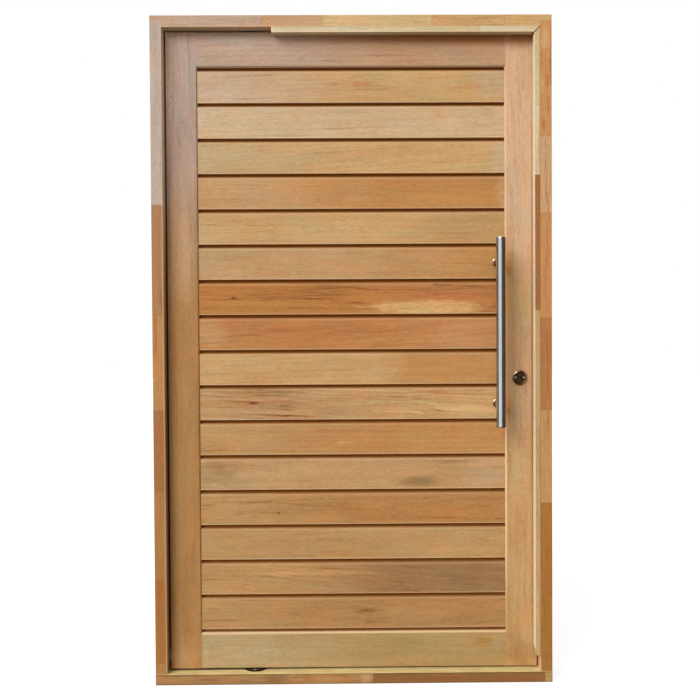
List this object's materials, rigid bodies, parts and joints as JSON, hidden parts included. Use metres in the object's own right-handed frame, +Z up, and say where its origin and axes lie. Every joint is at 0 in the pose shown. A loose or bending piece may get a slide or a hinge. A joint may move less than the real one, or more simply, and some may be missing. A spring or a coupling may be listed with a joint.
{
  "type": "pivot door",
  "caption": "Tall timber pivot door in its frame: a leaf of horizontal slats between stiles and rails turns on offset floor and head pivots, with bar pull handles and a lock.",
  "frame": {"origin": "middle of the sill's underside, on the mid-plane of the leaf", "axes": "+Z up, +X to the right seen from outside, +Y towards the inside of the building"},
  "size_m": [1.29, 0.214, 2.16],
  "materials": {
    "frame_timber": "clear-oiled finger-jointed hardwood",
    "stop_timber": "pale planed softer timber",
    "leaf_timber": "clear-oiled hardwood",
    "slat_timber": "clear-oiled hardwood, each slat its own tone",
    "pivot_steel": "dark blackened steel",
    "brushed_stainless": "brushed stainless steel",
    "dark_chrome": "polished plate",
    "cylinder_brass": "plated brass",
    "lock_steel": "satin steel"
  },
  "bodies": {
    "frame": {"head": "frame_timber", "sill": "frame_timber", "left_jamb": "frame_timber", "right_jamb": "frame_timber", "front_head_stop": "stop_timber", "front_jamb_stop": "stop_timber", "back_head_stop": "stop_timber", "back_jamb_stop": "stop_timber", "floor_pivot_plate": "pivot_steel", "head_pivot_plate": "pivot_steel", "lock_keeper": "lock_steel"},
    "leaf": {"left_stile": "leaf_timber", "right_stile": "leaf_timber", "top_rail": "leaf_timber", "bottom_rail": "leaf_timber", "slat_01": "slat_timber", "slat_02": "slat_timber", "slat_03": "slat_timber", "slat_04": "slat_timber", "slat_05": "slat_timber", "slat_06": "slat_timber", "slat_07": "slat_timber", "slat_08": "slat_timber", "slat_09": "slat_timber", "slat_10": "slat_timber", "slat_11": "slat_timber", "slat_12": "slat_timber", "slat_13": "slat_timber", "slat_14": "slat_timber", "slat_15": "slat_timber", "slat_16": "slat_timber", "bottom_pivot_bush": "pivot_steel", "top_pivot_bush": "pivot_steel", "front_handle_bar": "brushed_stainless", "front_handle_posts": "brushed_stainless", "back_handle_bar": "brushed_stainless", "back_handle_posts": "brushed_stainless", "front_lock_rose": "dark_chrome", "back_lock_rose": "dark_chrome", "lock_cylinder": "cylinder_brass", "lock_forend": "lock_steel"}
  },
  "joints": [
    {"name": "leaf_pivot", "type": "hinge", "parent": "frame", "child": "leaf", "pos_m": [-0.3245, 0, 0.042], "axis": [0, 0, 1], "range_deg": [0, 110]}
  ]
}
